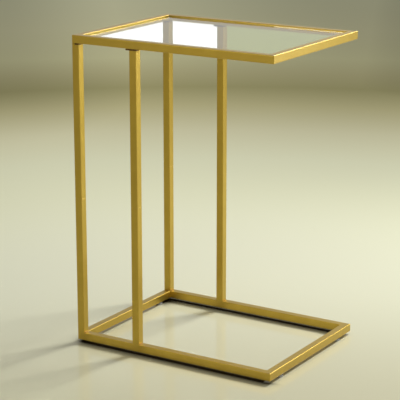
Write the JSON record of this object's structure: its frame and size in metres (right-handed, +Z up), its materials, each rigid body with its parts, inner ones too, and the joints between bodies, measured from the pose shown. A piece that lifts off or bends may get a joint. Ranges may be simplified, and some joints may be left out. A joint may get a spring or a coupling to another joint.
{
  "type": "c shaped side table",
  "caption": "Slim side table with posts near one end, so that its glass top reaches over a seat while its open base slides under it.",
  "frame": {"origin": "on the floor, under the middle of the table's outer box, with the feet screwed right in", "axes": "+X from the closed end with the posts to the open end, +Y from the front to the back, +Z up"},
  "size_m": [0.453, 0.339, 0.635],
  "materials": {
    "satin_gold": "satin brass coloured coating on steel tube",
    "dark_bronze": "satin dark bronze coating on steel plate",
    "gold_screw": "brass plated screws, lightly polished",
    "plated_steel": "bright zinc plate",
    "clear_glass": "clear tempered glass with polished edges",
    "clear_rubber": "soft clear rubber",
    "grey_plastic": "moulded mid-grey plastic"
  },
  "bodies": {
    "table": {"base_front_rail": "satin_gold", "top_front_rail": "satin_gold", "base_back_rail": "satin_gold", "top_back_rail": "satin_gold", "base_left_rail": "satin_gold", "top_left_rail": "satin_gold", "base_right_rail": "satin_gold", "top_right_rail": "satin_gold", "lower_post_front_corner": "satin_gold", "upper_post_front_corner": "satin_gold", "post_joiner_front_corner": "plated_steel", "head_plate_front_corner": "dark_bronze", "lower_post_front_inner": "satin_gold", "upper_post_front_inner": "satin_gold", "post_joiner_front_inner": "plated_steel", "head_plate_front_inner": "dark_bronze", "lower_post_back_corner": "satin_gold", "upper_post_back_corner": "satin_gold", "post_joiner_back_corner": "plated_steel", "head_plate_back_corner": "dark_bronze", "lower_post_back_inner": "satin_gold", "upper_post_back_inner": "satin_gold", "post_joiner_back_inner": "plated_steel", "head_plate_back_inner": "dark_bronze", "head_plate_screws": "gold_screw", "post_joiner_screws": "gold_screw", "top_frame_rivet_nuts": "plated_steel", "foot_rivet_nuts": "plated_steel", "glass_panel": "clear_glass", "glass_bumpers": "clear_rubber", "glass_ledge_front_left": "satin_gold", "glass_ledge_front_right": "satin_gold", "glass_ledge_back_left": "satin_gold", "glass_ledge_back_right": "satin_gold"},
    "pad_front_left": {"foot_pad_front_left": "grey_plastic"},
    "stud_front_left": {"foot_stud_front_left": "plated_steel"},
    "pad_front_right": {"foot_pad_front_right": "grey_plastic"},
    "stud_front_right": {"foot_stud_front_right": "plated_steel"},
    "pad_back_left": {"foot_pad_back_left": "grey_plastic"},
    "stud_back_left": {"foot_stud_back_left": "plated_steel"},
    "pad_back_right": {"foot_pad_back_right": "grey_plastic"},
    "stud_back_right": {"foot_stud_back_right": "plated_steel"}
  },
  "joints": [
    {"name": "foot_height_front_left", "type": "slide", "parent": "table", "child": "pad_front_left", "axis": [0, 0, -1], "range_m": [0, 0.008]},
    {"name": "foot_turn_front_left", "type": "hinge", "parent": "pad_front_left", "child": "stud_front_left", "pos_m": [-0.2185, -0.1195, 0.005], "axis": [0, 0, -1], "range_deg": [0, 2880]},
    {"name": "foot_height_front_right", "type": "slide", "parent": "table", "child": "pad_front_right", "axis": [0, 0, -1], "range_m": [0, 0.008]},
    {"name": "foot_turn_front_right", "type": "hinge", "parent": "pad_front_right", "child": "stud_front_right", "pos_m": [0.2185, -0.1195, 0.005], "axis": [0, 0, -1], "range_deg": [0, 2880]},
    {"name": "foot_height_back_left", "type": "slide", "parent": "table", "child": "pad_back_left", "axis": [0, 0, -1], "range_m": [0, 0.008]},
    {"name": "foot_turn_back_left", "type": "hinge", "parent": "pad_back_left", "child": "stud_back_left", "pos_m": [-0.2185, 0.1195, 0.005], "axis": [0, 0, -1], "range_deg": [0, 2880]},
    {"name": "foot_height_back_right", "type": "slide", "parent": "table", "child": "pad_back_right", "axis": [0, 0, -1], "range_m": [0, 0.008]},
    {"name": "foot_turn_back_right", "type": "hinge", "parent": "pad_back_right", "child": "stud_back_right", "pos_m": [0.2185, 0.1195, 0.005], "axis": [0, 0, -1], "range_deg": [0, 2880]}
  ],
  "couplings": [
    {"joint": "foot_turn_front_left", "follows": "foot_height_front_left", "rad_per_m": 6283.2},
    {"joint": "foot_turn_front_right", "follows": "foot_height_front_right", "rad_per_m": 6283.2},
    {"joint": "foot_turn_back_left", "follows": "foot_height_back_left", "rad_per_m": 6283.2},
    {"joint": "foot_turn_back_right", "follows": "foot_height_back_right", "rad_per_m": 6283.2}
  ]
}
